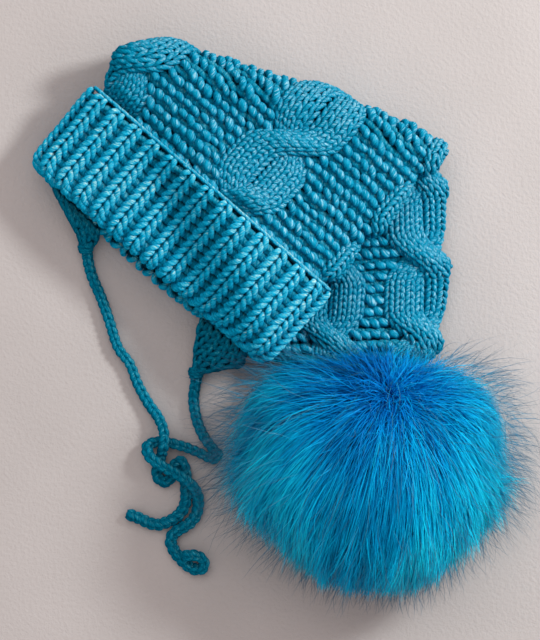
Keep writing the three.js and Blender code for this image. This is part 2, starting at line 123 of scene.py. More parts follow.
def bell(x, width):
    return np.exp(-((x / width) ** 2))


def smooth(low, high, x):
    s = np.clip((x - low) / (high - low), 0, 1)
    return s * s * (3 - 2 * s)


def unit(vectors):
    return vectors / np.maximum(np.linalg.norm(vectors, axis=-1, keepdims=True), 1e-9)


def column(table, name, w):
    """A column of a table at each w, on a smooth curve through its rows."""
    at = np.array([row["w"] for row in table], float)
    value = np.array([row[name] for row in table], float)
    last = len(at) - 1
    before = np.maximum(np.arange(last + 1) - 1, 0)
    after = np.minimum(np.arange(last + 1) + 1, last)
    slope = (value[after] - value[before]) / (at[after] - at[before])
    w = np.clip(w, at[0], at[last])
    i = np.clip(np.searchsorted(at, w, side="right") - 1, 0, last - 1)
    span = at[i + 1] - at[i]
    s = (w - at[i]) / span
    return (
        value[i] * (1 + 2 * s) * (1 - s) ** 2
        + value[i + 1] * s * s * (3 - 2 * s)
        + slope[i] * span * s * (1 - s) ** 2
        + slope[i + 1] * span * s * s * (s - 1)
    )


def pressed(past):
    away = np.maximum(np.maximum(-past, past - FOLD_ARC), 0)
    return 1 - FOLD_PINCH * bell(away, PINCH_FADE)


def tail_level(w, past):
    half = column(TUBE, "half", w) * pressed(past)
    return half - TAIL_SETTLE + TAIL_END_RISE * smooth(222, 262, w)


def body_level(place, w, past):
    off = place - TAIL_SIDE
    inside = -math.sin(TAIL_SIDE_ANGLE) * off[..., 0] + math.cos(TAIL_SIDE_ANGLE) * off[..., 1]
    lift = TAIL_STACK * smooth(LIFT_START, LIFT_FULL, inside)
    half = column(TUBE, "half", w) * pressed(past)
    free = half - TAIL_SETTLE + CUFF_REST * smooth(45, CUFF_TOP_W, w) + lift
    folded = tail_level(w, FOLD_ARC) + 2 * FOLD_RADIUS
    return mix(free, folded, bell(past, LEVEL_FADE))


def laid(t, w, q):
    """Points of the tube's flat frame, put where the laid and folded tube has them."""
    place = CUFF_MIDDLE + t[..., None] * ACROSS_TUBE + w[..., None] * ALONG_TUBE
    past = (place - RIDGE_LEFT) @ PAST_RIDGE + FOLD_REACH
    height = q * pressed(past)
    start = place - past[..., None] * PAST_RIDGE
    turn = np.clip(past / FOLD_RADIUS, 0, math.pi)
    radius = FOLD_RADIUS + height
    reach = np.where(past <= 0, past, np.where(past < FOLD_ARC, radius * np.sin(turn), FOLD_ARC - past))
    flat = start + reach[..., None] * PAST_RIDGE
    level = np.where(
        past <= 0,
        body_level(place, w, past) + height,
        np.where(
            past < FOLD_ARC,
            tail_level(w, FOLD_ARC) + FOLD_RADIUS + radius * np.cos(turn),
            tail_level(w, past) - height,
        ),
    )
    return np.concatenate([flat, level[..., None]], axis=-1)


OUTLINE_STEPS = 600


def tube_points(shares, w, grow_wide, grow_tall):
    """A grid of points, a row for each w and a column for each share, and the tube's half rounds."""
    left = column(TUBE, "left", w)
    right = column(TUBE, "right", w)
    a = (right - left) / 2 + grow_wide
    b = column(TUBE, "half", w) + grow_tall
    angle = np.linspace(0, math.pi, OUTLINE_STEPS + 1)
    edge = np.sign(np.cos(angle)) * np.abs(np.cos(angle)) ** EDGE_POWER
    t = np.empty((len(w), len(shares)))
    q = np.empty_like(t)
    half_round = np.empty(len(w))
    for i in range(len(w)):
        across = a[i] * edge
        up = b[i] * np.sin(angle)
        length = np.concatenate([[0], np.cumsum(np.hypot(np.diff(across), np.diff(up)))])
        wanted = np.abs(shares) * length[-1]
        t[i] = np.interp(wanted, length, across)
        q[i] = np.interp(wanted, length, up)
        half_round[i] = length[-1]
    slide = BACK_SLIDE * np.sin(math.pi * np.maximum(shares, 0))[None, :] * smooth(5, MOUTH_W, w)[:, None]
    middle = ((left + right) / 2)[:, None]
    return laid(middle + t, w[:, None] - slide, np.where(shares <= 0, q, -q)), half_round


class Skin:
    """A closed strip of surface round the tube: places and outward normals at (share, along)."""

    COLUMNS = 720

    def __init__(self, along, w, grow_wide, grow_tall):
        shares = -1 + 2 * np.arange(self.COLUMNS) / self.COLUMNS
        self.first = along[0]
        self.step = along[1] - along[0]
        self.rows = len(along)
        self.place, self.half_round = tube_points(shares, w, grow_wide, grow_tall)
        round_way = np.roll(self.place, -1, axis=1) - np.roll(self.place, 1, axis=1)
        along_way = np.gradient(self.place, axis=0)
        self.normal = unit(np.cross(round_way, along_way))

    def look(self, grid, share, along):
        x = (np.asarray(share) + 1) / 2 * self.COLUMNS
        y = np.clip((np.asarray(along) - self.first) / self.step, 0, self.rows - 1.001)
        i = np.floor(x).astype(int)
        j = np.floor(y).astype(int)
        fx = (x - i)[..., None]
        fy = (y - j)[..., None]
        i0 = i % self.COLUMNS
        i1 = (i + 1) % self.COLUMNS
        low = grid[j, i0] * (1 - fx) + grid[j, i1] * fx
        high = grid[j + 1, i0] * (1 - fx) + grid[j + 1, i1] * fx
        return low * (1 - fy) + high * fy

    def at(self, share, along, height):
        normal = unit(self.look(self.normal, share, along))
        return self.look(self.place, share, along) + normal * np.asarray(height)[..., None], normal

    def round_mm(self, along):
        """Millimetres of surface for one whole unit of share."""
        y = np.clip((np.asarray(along) - self.first) / self.step, 0, self.rows - 1)
        return np.interp(y, np.arange(self.rows), self.half_round)


# Meshes
FLOOR_CLEAR = 0.02


def make_object(name, verts, faces, uvs, material, node, slot="yarn"):
    """A smooth mesh object from table millimetres. faces is (n, 3) or (n, 4); uvs is one per corner."""
    sides = faces.shape[1]
    placed = (np.asarray(verts, float) - HAT_MIDDLE) * MM
    placed[:, 2] = np.maximum(placed[:, 2], FLOOR_CLEAR * MM)
    mesh = bpy.data.meshes.new(name)
    mesh.vertices.add(len(placed))
    mesh.vertices.foreach_set("co", placed.ravel().astype(np.float32))
    mesh.loops.add(faces.size)
    mesh.loops.foreach_set("vertex_index", faces.ravel().astype(np.int32))
    mesh.polygons.add(len(faces))
    mesh.polygons.foreach_set("loop_start", (np.arange(len(faces)) * sides).astype(np.int32))
    mesh.polygons.foreach_set("use_smooth", np.ones(len(faces), dtype=bool))
    if uvs is not None:
        layer = mesh.uv_layers.new(name="yarn")
        layer.uv.foreach_set("vector", np.asarray(uvs, np.float32).ravel())
    mesh.update(calc_edges=True)
    mesh.materials.append(material)
    obj = bpy.data.objects.new(name, mesh)
    bpy.context.scene.collection.objects.link(obj)
    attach(obj, "root")
    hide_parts(node)
    return obj


# Where along its yarn a stitch starts, so that no two show the same fibres
YARN_START_MOST = 400.0


class Yarns:
    """A heap of short yarn lengths that becomes one mesh."""

    def __init__(self):
        self.parts = []
        self.count = 0

    def add(self, centres, up, wide, thick, sides=6):
        """One length for each row of centres (n, k, 3), with its outward way and its two radii (n, k)."""
        along = unit(np.gradient(centres, axis=1))
        across = unit(np.cross(along, up))
        lift = np.cross(across, along)
        angle = 2 * math.pi * np.arange(sides) / sides
        ring = (
            centres[:, :, None]
            + across[:, :, None] * (wide[..., None] * np.cos(angle))[..., None]
            + lift[:, :, None] * (thick[..., None] * np.sin(angle))[..., None]
        )
        n, k = centres.shape[:2]
        index = np.arange(n * k * sides).reshape(n, k, sides) + self.count
        a = index[:, :-1]
        b = index[:, 1:]
        faces = np.stack([a, np.roll(a, -1, axis=2), np.roll(b, -1, axis=2), b], axis=-1)
        step = np.linalg.norm(np.diff(centres, axis=1), axis=-1)
        length = np.concatenate([np.zeros((n, 1)), np.cumsum(step, axis=1)], axis=1)
        length = length + rng.uniform(0, YARN_START_MOST, (n, 1))
        v = np.arange(sides) / sides
        low = length[:, :-1, None] + np.zeros(sides)
        high = length[:, 1:, None] + np.zeros(sides)
        v0 = np.broadcast_to(v, low.shape)
        v1 = v0 + 1 / sides
        corners = ((low, v0), (low, v1), (high, v1), (high, v0))
        uvs = np.stack([np.stack(corner, -1) for corner in corners], axis=-2)
        self.parts.append((ring.reshape(-1, 3), faces.reshape(-1, 4), uvs.reshape(-1, 2)))
        self.count += n * k * sides

    def object(self, name, material, node):
        verts, faces, uvs = (np.concatenate(group) for group in zip(*self.parts))
        return make_object(name, verts, faces, uvs, material, node)


def tapered(k, blunt=0.35):
    """How thick a stitch leg is along its length: full in the middle, thin where it goes under."""
    s = np.linspace(-1, 1, k)
    return blunt + (1 - blunt) * np.sqrt(np.maximum(1 - s**4, 0))


# Materials
YARN_BRIGHT = (0.4, 0.75, 0.92)
YARN_PALE = (0.045, 0.5, 0.77)
YARN_LIGHT = (0.004, 0.4, 0.65)
YARN_MIDDLE = (0.0, 0.27, 0.48)
YARN_DARK = (0.0, 0.08, 0.15)
YARN_DEEP_SHADE = (0.0, 0.02, 0.035)
PALEST_RED = 0.6
YARN_STOPS = (0.05, 0.38, 0.68, 0.86, 0.98)
TWIST_LENGTH = 9.0
PLIES = 3.0
FIBRES_ROUND = 15.0
FIBRES_ALONG = 0.42
CLUMPS_ALONG = 0.15
# Painted light: the way to the key lamp. Yarn whose surface faces it is painted paler.
PAINTED_LIGHT_WAY = (0.687, 0.376, 0.622)


class Nodes:
    """Short calls for making one material's nodes."""

    def __init__(self, name):
        self.material = bpy.data.materials.new(name)
        self.material.use_nodes = True
        self.tree = self.material.node_tree
        self.tree.nodes.clear()
        out = self.tree.nodes.new("ShaderNodeOutputMaterial")
        self.surface = self.tree.nodes.new("ShaderNodeBsdfPrincipled")
        self.link(self.surface.outputs[0], out.inputs["Surface"])

    def link(self, source, target):
        self.tree.links.new(source, target)

    def node(self, kind, inputs=None, **settings):
        made = self.tree.nodes.new(kind)
        for key, value in settings.items():
            setattr(made, key, value)
        for key, value in (inputs or {}).items():
            if isinstance(value, bpy.types.NodeSocket):
                self.link(value, made.inputs[key])
            else:
                made.inputs[key].default_value = value
        return made

    def math(self, operation, a, b=0.0):
        return self.node("ShaderNodeMath", {0: a, 1: b}, operation=operation).outputs[0]

    def where(self):
        return self.node("ShaderNodeTexCoord").outputs["Object"]

    def yarn_uv(self):
        uv = self.node("ShaderNodeUVMap", uv_map="yarn").outputs[0]
        return self.node("ShaderNodeSeparateXYZ", {0: uv}).outputs

    def between(self, value, low, high):
        return self.node("ShaderNodeMapRange", {"Value": value, 1: low, 2: high}).outputs[0]

    def noise(self, vector, scale, detail=3.0, roughness=0.55):
        inputs = {"Vector": vector, "Scale": scale, "Detail": detail, "Roughness": roughness}
        return self.node("ShaderNodeTexNoise", inputs).outputs["Fac"]

    def ramp(self, factor, stops):
        made = self.node("ShaderNodeValToRGB", {"Fac": factor})
        ramp = made.color_ramp
        while len(ramp.elements) < len(stops):
            ramp.elements.new(0.5)
        for element, (at, color) in zip(ramp.elements, stops):
            element.position = at
            element.color = (*color, 1.0)
        return made.outputs["Color"]

    def blend(self, factor, a, b, kind="MIX"):
        made = self.node("ShaderNodeMix", {0: factor, 6: a, 7: b}, data_type="RGBA", blend_type=kind)
        return made.outputs[2]

    def weighed(self, base, parts):
        """The base plus, for each part, its value less its middle, times its weight."""
        total = base
        for value, middle, weight in parts:
            off_middle = self.math("SUBTRACT", value, middle)
            total = self.math("ADD", total, self.math("MULTIPLY", off_middle, weight))
        return total

    def bump(self, height, distance, strength):
        inputs = {"Height": height, "Distance": distance, "Strength": strength}
        return self.node("ShaderNodeBump", inputs).outputs[0]

    def finish(self, color, normal, **values):
        self.link(color, self.surface.inputs["Base Color"])
        if normal:
            self.link(normal, self.surface.inputs["Normal"])
        for key, value in values.items():
            self.surface.inputs[key.replace("_", " ")].default_value = value
        return self.material


# Painted light and shade: a yarn tone made lighter or darker, with its red scaled separately as a painted
# highlight.
def scaled(color, shade, pale):
    red, green, blue = color
    return min(red * pale, PALEST_RED), min(green * shade, 1), min(blue * shade, 1)


def yarn_material(name, shade, pale):
    """Plied wool: the uv map holds millimetres along the yarn and the share of the way round it.

    shade scales the green and the blue as painted light and shade; pale scales the red, a painted highlight
    that whitens the brightest fibres.
    """
    n = Nodes(name)
    uv = n.yarn_uv()
    along = uv[0]
    turn = n.math("ADD", uv[1], n.math("DIVIDE", along, TWIST_LENGTH))
    # Ply relief. In the colour it is also painted shade, darker in the grooves between the plies.
    ply = n.math("ABSOLUTE", n.math("SINE", n.math("MULTIPLY", turn, math.pi * PLIES)))
    ply = n.math("POWER", ply, 0.55)
    fibre_inputs = {0: n.math("MULTIPLY", turn, FIBRES_ROUND), 1: n.math("MULTIPLY", along, FIBRES_ALONG)}
    fibre = n.noise(n.node("ShaderNodeCombineXYZ", fibre_inputs).outputs[0], 1.0, 4.0, 0.7)
    clump_place = n.node("ShaderNodeCombineXYZ", {0: n.math("MULTIPLY", along, CLUMPS_ALONG)})
    clump = n.noise(clump_place.outputs[0], 1.0, 1.0)
    patch = n.noise(n.where(), 45.0, 2.0)
    # Painted light and shade: each yarn's side away from the fabric is painted lighter, and its side
    # against the fabric darker.
    outward = n.math("SINE", n.math("MULTIPLY", uv[1], 2 * math.pi))
    # Painted highlight: the tone rises where the yarn's surface faces the key lamp.
    sun = {0: n.node("ShaderNodeNewGeometry").outputs["Normal"], 1: PAINTED_LIGHT_WAY}
    painted_key_light = n.node("ShaderNodeVectorMath", sun, operation="DOT_PRODUCT").outputs["Value"]
    painted_highlight = n.math("MAXIMUM", painted_key_light, 0.0)
    parts = [(fibre, 0.5, 2.1), (ply, 0.0, 0.13), (outward, 0.0, 0.12), (painted_highlight, 0.0, 0.42)]
    tone = n.weighed(0.23, parts + [(clump, 0.5, 0.3), (patch, 0.5, 0.2)])
    tones = (YARN_DARK, YARN_MIDDLE, YARN_LIGHT, YARN_PALE, YARN_BRIGHT)
    color = n.ramp(tone, [(at, scaled(each, shade, pale)) for at, each in zip(YARN_STOPS, tones)])
    height = n.math("ADD", n.math("MULTIPLY", ply, 0.5), n.math("MULTIPLY", fibre, 1.6))
    normal = n.bump(height, 0.001, 1.0)
    return n.finish(color, normal, Roughness=1.0, Specular_IOR_Level=0.0)


def underlay_material(name):
    """Painted shade: the inside of the knitting, seen between the stitches, coloured nearly black as the
    shade there.
    """
    n = Nodes(name)
    where = n.where()
    patch = n.noise(where, 900.0, 3.0)
    color = n.ramp(patch, [(0.3, YARN_DEEP_SHADE), (0.9, YARN_DARK)])
    wave = n.node("ShaderNodeTexWave", {"Vector": where, "Scale": 140.0, "Distortion": 3.0, "Detail": 2.0})
    normal = n.bump(wave.outputs["Fac"], 0.0008, 0.8)
    return n.finish(color, normal, Roughness=0.95, Specular_IOR_Level=0.02)


# Painted light and shade: copies of one yarn, painted lighter or darker by where they lie.
# The cuff's stitches and edge chain are painted lightest and palest, and the crown is near the plain tone.
# The valleys, purls, flaps and cords are painted darker, as the shade that falls on them.
YARN = yarn_material("yarn", 1.58, 2.8)
YARN_CROWN = yarn_material("yarn_crown", 1.04, 0.9)
YARN_EDGE_PAINTED_LIGHT = yarn_material("yarn_edge_painted_light", 1.5, 2.8)
YARN_VALLEY_PAINTED_SHADE = yarn_material("yarn_valley_painted_shade", 0.76, 0.33)
YARN_FLAP_PAINTED_SHADE = yarn_material("yarn_flap_painted_shade", 0.72, 0.2)
YARN_CORD_PAINTED_SHADE = yarn_material("yarn_cord_painted_shade", 0.74, 0.25)
UNDERLAY = underlay_material("yarn_underlay_painted_shade")


# Crown
ROW_PITCH = 4.0
KNIT_START_W = 3.0
KNIT_END_W = 256.0
WALES_PER_STRAND = 4
LEG_LENGTH = 6.6
LEG_THICK = 1.6
LEG_WIDE = 0.265
LEG_RINGS = 5
LEG_SPREAD = (0.07, 0.45)
STITCH_RISE = 6.0
STITCH_OVER = 4.4
STITCH_UNDER = 3.8
GARTER_PITCH = 6.9
GARTER_STITCH = 6.2
BUMP_THICK = 2.45
LOW_BUMP_THICK = 1.8
LOW_BUMP_DROP = 3.4
UNDERLAY_DEPTH = 3.2
UNDERLAY_COLUMNS = 128
RELIEF_START_W = 4.0
RELIEF_FULL_W = 14.0

crown_w = np.arange(MOUTH_W, TUBE_END_W + 0.5, 1.0)
crown_skin = Skin(crown_w, crown_w, 0.0, 0.0)


def relief_fade(w):
    return smooth(RELIEF_START_W, RELIEF_FULL_W, w) * smooth(258, 236, w)


def cable_edges(cable, w):
    low = column(PANELS, cable["start"], w)
    high = column(PANELS, cable["end"], w)
    return low, np.where(high < low, high + 2, high)


def strands_at(cable, w, row, over, under):
    """The two strands' places, from -1 to 1 across the cable, and how far each rises where they cross.

    A stitch stays with the swap that is nearest to its row.
    """
    after = (row - cable["swap"] + SWAP_PITCH / 2) % SWAP_PITCH - SWAP_PITCH / 2 + (w - row)
    across = (smooth(-SWAP_LENGTH / 2, SWAP_LENGTH / 2, after) - 0.5) * cable["way"]
    crossing = bell(after, SWAP_LENGTH / 2.6)
    return [(across, over * crossing), (-across, -under * crossing)]


def cable_rise(share, w):
    rise = np.zeros(np.broadcast(share, w).shape)
    for cable in CABLES:
        low, high = cable_edges(cable, w)
        at = np.where((high > 1) & (share < low), share + 2, share)
        across = (at - low) / (high - low) * 2 - 1
        for place, crossing in strands_at(cable, w, w, OVER_RISE, UNDER_DROP):
            height = STRAND_RISE + crossing
            round_top = np.maximum(0, 1 - ((across - place) / STRAND_HALF) ** 2)
            rise = np.maximum(rise, np.where(np.abs(across) <= 1, height * np.sqrt(round_top), 0))
    return rise * relief_fade(w)


def split_add(heaps, share, centres, up, wide, thick, sides):
    """Puts yarn lengths in the front or the back heap, by the share of each one's middle."""
    turn = (share[:, share.shape[1] // 2] + 1) % 2 - 1
    for heap, chosen in zip(heaps, (turn < 0, turn >= 0)):
        if chosen.any():
            heap.add(centres[chosen], up[chosen], wide[chosen], thick[chosen], sides)


def knit_cable(skin, cable, heaps):
    rows = np.arange(KNIT_START_W, KNIT_END_W, ROW_PITCH)
    s = np.linspace(0, 1, LEG_RINGS)
    for strand in range(2):
        for wale in range(WALES_PER_STRAND):
            offset = (wale + 0.5) / WALES_PER_STRAND - 0.5
            for leg in (-1, 1):
                jitter = rng.normal(0, 0.18, (len(rows), 1))
                w = rows[:, None] + jitter + s * LEG_LENGTH
                low, high = cable_edges(cable, w)
                both = strands_at(cable, w, rows[:, None], STITCH_OVER, STITCH_UNDER)
                place, crossing = both[strand]
                off = offset * 0.96 + leg * mix(*LEG_SPREAD, s) / WALES_PER_STRAND
                share = low + (high - low) * (place + off + 1) / 2
                arch = 1.9 * np.sin(math.pi * np.clip(0.1 + s * 0.95, 0, 1)) - 1.6 - 0.7 * s
                round_top = np.maximum(0, 1 - np.abs(off / 0.54) ** 2) ** 0.7
                rise = (STITCH_RISE + crossing) * round_top * relief_fade(w) - 1.1
                centres, up = skin.at(share, w, rise - LEG_THICK * 0.6 + arch)
                wale_mm = (high - low) * skin.round_mm(w) / 2 / WALES_PER_STRAND
                wide = wale_mm * LEG_WIDE * tapered(LEG_RINGS)
                thick = np.broadcast_to(LEG_THICK * tapered(LEG_RINGS), wide.shape)
                split_add(heaps, share, centres, up, wide, thick, 6)


def cable_reach(cable, w):
    """The shares where the outer strands' edges are at w: the plain knitting is drawn up to them."""
    low, high = (float(value) for value in cable_edges(cable, w))
    reach = 0.5 + abs(float(strands_at(cable, w, w, STITCH_OVER, STITCH_UNDER)[0][0]))
    middle = (low + high) / 2
    half = (high - low) / 2
    return middle - half * reach, middle + half * reach


def knit_garter(skin, before, after, heaps, low_heaps):
    """Ridges of purl bumps between two cables."""
    u = np.linspace(-1, 1, 7)
    for row in np.arange(KNIT_START_W + 1.5, KNIT_END_W, GARTER_PITCH):
        low = cable_reach(before, row)[1]
        high = cable_reach(after, row)[0]
        low -= 2 * (low > 1)
        count = max(2, round((high - low) * float(skin.round_mm(row)) / GARTER_STITCH))
        width = (high - low) / count
        for level, first, many in ((0, 0.5, count), (1, 0.0, count + 1)):
            middle = low + width * (np.arange(many) + first) + rng.normal(0, width * 0.05, many)
            share = middle[:, None] + (0.5 if level == 0 else 0.6) * width * u
            jitter = rng.normal(0, 0.35, (many, 1))
            lean = 1.1 + rng.normal(0, 0.7, (many, 1))
            if level == 0:
                w = row + jitter - lean * u - 0.5 * u * u + np.zeros((many, 1))
                height = 0.7 - 3.6 * u**2 + rng.normal(0, 0.45, (many, 1))
                thick = BUMP_THICK * tapered(7, 0.55) * rng.uniform(0.86, 1.14, (many, 1))
            else:
                w = row - LOW_BUMP_DROP + jitter + 1.0 * u * u + np.zeros((many, 1))
                height = -2.6 - 0.6 * u * u + np.zeros((many, 1))
                thick = LOW_BUMP_THICK * tapered(7, 0.6) * np.ones((many, 1))
            centres, up = skin.at(share, w, height)
            wide = thick * (1.0 if level == 0 else 1.4)
            split_add(heaps if level == 0 else low_heaps, share, centres, up, wide, thick, 6)


def strip_object(name, rings, material, node):
    """Rings of equal length joined into one closed band."""
    grid = np.stack(rings)
    rows, columns = grid.shape[:2]
    index = np.arange(rows * columns).reshape(rows, columns)
    a = index
    b = np.roll(index, -1, axis=0)
    faces = np.stack([a, np.roll(a, -1, axis=1), np.roll(b, -1, axis=1), b], axis=-1)
    return make_object(name, grid.reshape(-1, 3), faces.reshape(-1, 4), None, material, node)


def crown_underlay():
    shares = -1 + 2 * np.arange(UNDERLAY_COLUMNS) / UNDERLAY_COLUMNS
    outer = []
    for w in np.arange(MOUTH_W, TUBE_END_W, 3.2):
        rise = cable_rise(shares, np.full_like(shares, w)) * 0.85
        outer.append(crown_skin.at(shares, np.full_like(shares, w), rise - UNDERLAY_DEPTH)[0])
    inner_w = np.arange(MOUTH_W, 254, 7.0)
    inner = tube_points(shares, inner_w, -SIDE_WALL, -WALL)[0]
    strip_object("crown_wall", [*outer, *inner[::-1]], UNDERLAY, "crown")


front = Yarns()
back = Yarns()
front_low = Yarns()
back_low = Yarns()
for each in CABLES:
    knit_cable(crown_skin, each, (front, back))
for before, after in zip(CABLES, CABLES[1:] + CABLES[:1]):
    knit_garter(crown_skin, before, after, (front, back), (front_low, back_low))
front.object("crown_front_stitches", YARN_CROWN, "crown")
back.object("crown_back_stitches", YARN_CROWN, "crown")
# The lower purl bumps take the yarn painted darker, as the shade in the hollows between the ridges.
front_low.object("crown_front_purls", YARN_VALLEY_PAINTED_SHADE, "crown")
back_low.object("crown_back_purls", YARN_VALLEY_PAINTED_SHADE, "crown")
crown_underlay()


# Ribbed cuff
RIBS = 28
RIB_RISE = 1.1
CUFF_GAP = 0.5
CUFF_PATH = [
    dict(w=0, run=1.5, wide=2.6, tall=2.6),
    dict(w=4, run=0.6, wide=5.8, tall=5.8),
    dict(w=8, run=-3, wide=6.5, tall=6.5),
    dict(w=30, run=-25, wide=6.5, tall=6.5),
    dict(w=52, run=-47, wide=6.5, tall=6.5),
    dict(w=58, run=-52.4, wide=5.2, tall=5.4),
    dict(w=63, run=-55.4, wide=1.6, tall=2.0),
    dict(w=68, run=-55.2, wide=-3.0, tall=-2.2),
    dict(w=73, run=-52, wide=-6.2, tall=-4.6),
]
RIB_ROW = 5.1
RIB_LEG = 8.6
RIB_SPREAD = (0.95, 5.2)
RIB_YARN = 1.95

cuff_length = np.arange(0, 73.25, 0.5)


class CuffSkin(Skin):
    def __init__(self):
        super().__init__(
            cuff_length,
            column(CUFF_PATH, "run", cuff_length),
            column(CUFF_PATH, "wide", cuff_length),
            column(CUFF_PATH, "tall", cuff_length),
        )
        self.normal = -self.normal


cuff_skin = CuffSkin()


def knit_ribs(skin, heap, valley_heap):
    s = np.linspace(0, 1, 8)
    middles = -1 + 2 * np.arange(RIBS) / RIBS
    for row in np.arange(1.5, 67, RIB_ROW):
        along = row + s * RIB_LEG + np.zeros((RIBS, 1))
        unit_mm = skin.round_mm(along)
        for leg in (-1, 1):
            jitter = rng.normal(0, 0.25, (RIBS, 1))
            spread = mix(*RIB_SPREAD, s) + rng.normal(0, 0.12, (RIBS, 1))
            share = middles[:, None] + leg * spread / unit_mm
            height = -1.5 + 2.5 * np.sin(math.pi * np.clip(0.1 + s * 0.9, 0, 1)) - 0.9 * s
            centres, up = skin.at(share, along + jitter, height + np.zeros((RIBS, 1)))
            wide = RIB_YARN * tapered(8, 0.4) * np.ones((RIBS, 1))
            heap.add(centres, up, wide, wide * 0.9, 8)
    u = np.linspace(-1, 1, 6)
    valleys = middles + 1 / RIBS
    for row in np.arange(3.5, 64, RIB_ROW):
        along = row - 0.8 * u * u + np.zeros((RIBS, 1))
        share = valleys[:, None] + 3.2 * u / skin.round_mm(along)
        centres, up = skin.at(share, along, -3.0 - 0.3 * u * u + np.zeros((RIBS, 1)))
        valley_heap.add(centres, up, 2.9 * np.ones((RIBS, 6)), 1.7 * np.ones((RIBS, 6)), 6)
    along = np.linspace(1, 66, 14) + np.zeros((RIBS, 1))
    centres, up = skin.at(middles[:, None] + np.zeros_like(along), along, -2.3 + np.zeros_like(along))
    valley_heap.add(centres, up, 2.0 * np.ones_like(along), 1.6 * np.ones_like(along), 6)


CHAIN_LINK = 7.0
CHAIN_YARN = 1.2


def knit_edge_chain(skin, heap):
    links = round(2 * float(skin.round_mm(2.0)) / CHAIN_LINK)
    middles = -1 + 2 * np.arange(links) / links
    s = np.linspace(0, 1, 7)
    reach = 2.0 / links * 1.9
    for side in (-1, 1):
        share = middles[:, None] + reach * s
        along = 1.4 + side * mix(0.9, 0.1, s) + rng.normal(0, 0.12, (links, 1))
        height = 1.5 + 0.7 * np.sin(math.pi * s) + np.zeros((links, 1))
        centres, up = skin.at(share, along, height)
        thick = CHAIN_YARN * tapered(7, 0.5) * np.ones((links, 1))
        heap.add(centres, up, thick, thick, 6)


def cuff_underlay():
    shares = -1 + 2 * np.arange(RIBS * 12) / (RIBS * 12)
    rib = RIB_RISE * np.cos(math.pi * RIBS * shares)
    rings = []
    for along in np.arange(0, 73, 3.0):
        rings.append(cuff_skin.at(shares, np.full_like(shares, along), rib - 2.4)[0])
    lining_w = np.linspace(MOUTH_W - CUFF_GAP, CUFF_TOP_W, 20)
    lining = tube_points(shares, lining_w, CUFF_GAP, CUFF_GAP)[0]
    inside = tube_points(shares, lining_w[:1], -SIDE_WALL - CUFF_GAP, -WALL - CUFF_GAP)[0]
    strip_object("cuff_wall", [*rings, *inside, *lining], UNDERLAY, "ribbed_cuff")


cuff = Yarns()
valleys = Yarns()
knit_ribs(cuff_skin, cuff, valleys)
cuff.object("cuff_stitches", YARN, "ribbed_cuff")
# The valleys between the ribs take the yarn painted darker, as the shade in the hollows.
valleys.object("cuff_valleys", YARN_VALLEY_PAINTED_SHADE, "ribbed_cuff")
edge = Yarns()
knit_edge_chain(cuff_skin, edge)
edge.object("cuff_edge_chain", YARN_EDGE_PAINTED_LIGHT, "ribbed_cuff")
cuff_underlay()


# Ear flaps
FLAP_THICK = 5.0
FLAP_WALE = 7.4
FLAP_ROW = 5.2
FLAP_SPREAD = (0.5, 3.6)
FLAP_YARN = 1.7
FLAP_EDGE_LINK = 4.6
FLAP_EDGE_YARN = 1.35
BINDING_RADII = (3.4, 3.9, 3.7, 3.1)
BINDING_YARN = 1.25
# The flap's underlay across: the share from its left edge to its right one, and its face
FLAP_ROUND = [
    (-1, 0), (-0.8, 1), (-0.3, 1), (0.3, 1), (0.8, 1),
    (1, 0), (0.8, -1), (0.3, -1), (-0.3, -1), (-0.8, -1),
]
LEFT_FLAP = [
    dict(w=0, left_t=-72, left_w=-58.2, left_z=14.5, right_t=-36, right_w=-60.5, right_z=8),
    dict(w=1, left_t=-64, left_w=-62.0, left_z=16.5, right_t=-33.2, right_w=-62.4, right_z=7),
    dict(w=2, left_t=-54, left_w=-66.0, left_z=14.5, right_t=-31.8, right_w=-64.6, right_z=6),
    dict(w=3, left_t=-44, left_w=-70.0, left_z=10.5, right_t=-31.2, right_w=-68.4, right_z=5),
    dict(w=4, left_t=-38, left_w=-73.6, left_z=6.4, right_t=-31.4, right_w=-71.6, right_z=4.6),
]
RIGHT_FLAP = [
    dict(w=0, left_t=47, left_w=-60.0, left_z=9, right_t=81, right_w=-57.4, right_z=26),
    dict(w=1, left_t=50, left_w=-66, left_z=9.5, right_t=82.5, right_w=-66, right_z=22.5),
    dict(w=2, left_t=54, left_w=-74, left_z=8.5, right_t=76.4, right_w=-74, right_z=16.5),
    dict(w=3, left_t=58.9, left_w=-80.8, left_z=6.8, right_t=71.5, right_w=-80.8, right_z=10.5),
    dict(w=4, left_t=62.5, left_w=-86, left_z=4.8, right_t=67.5, right_w=-86, right_z=5.6),
]


def flap_edges(table, at):
    """The two side edges and the upward way of a flap at each place along it, from 0 to 4."""
    sides = []
    for side in ("left", "right"):
        t = column(table, side + "_t", at)[..., None]
        w = column(table, side + "_w", at)[..., None]
        z = column(table, side + "_z", at)[..., None]
        sides.append(np.concatenate([CUFF_MIDDLE + t * ACROSS_TUBE + w * ALONG_TUBE, z], axis=-1))
    left, right = sides
    across = right - left
    square = np.sum(across * across, axis=-1, keepdims=True)
    up = unit(np.array([0.0, 0.0, 1.0]) - across * across[..., 2:] / square)
    return left, across, up


def flap_point(table, at, offset, height):
    left, across, up = flap_edges(table, at)
    middle = left + across / 2
    return middle + unit(across) * offset[..., None] + up * height[..., None], up


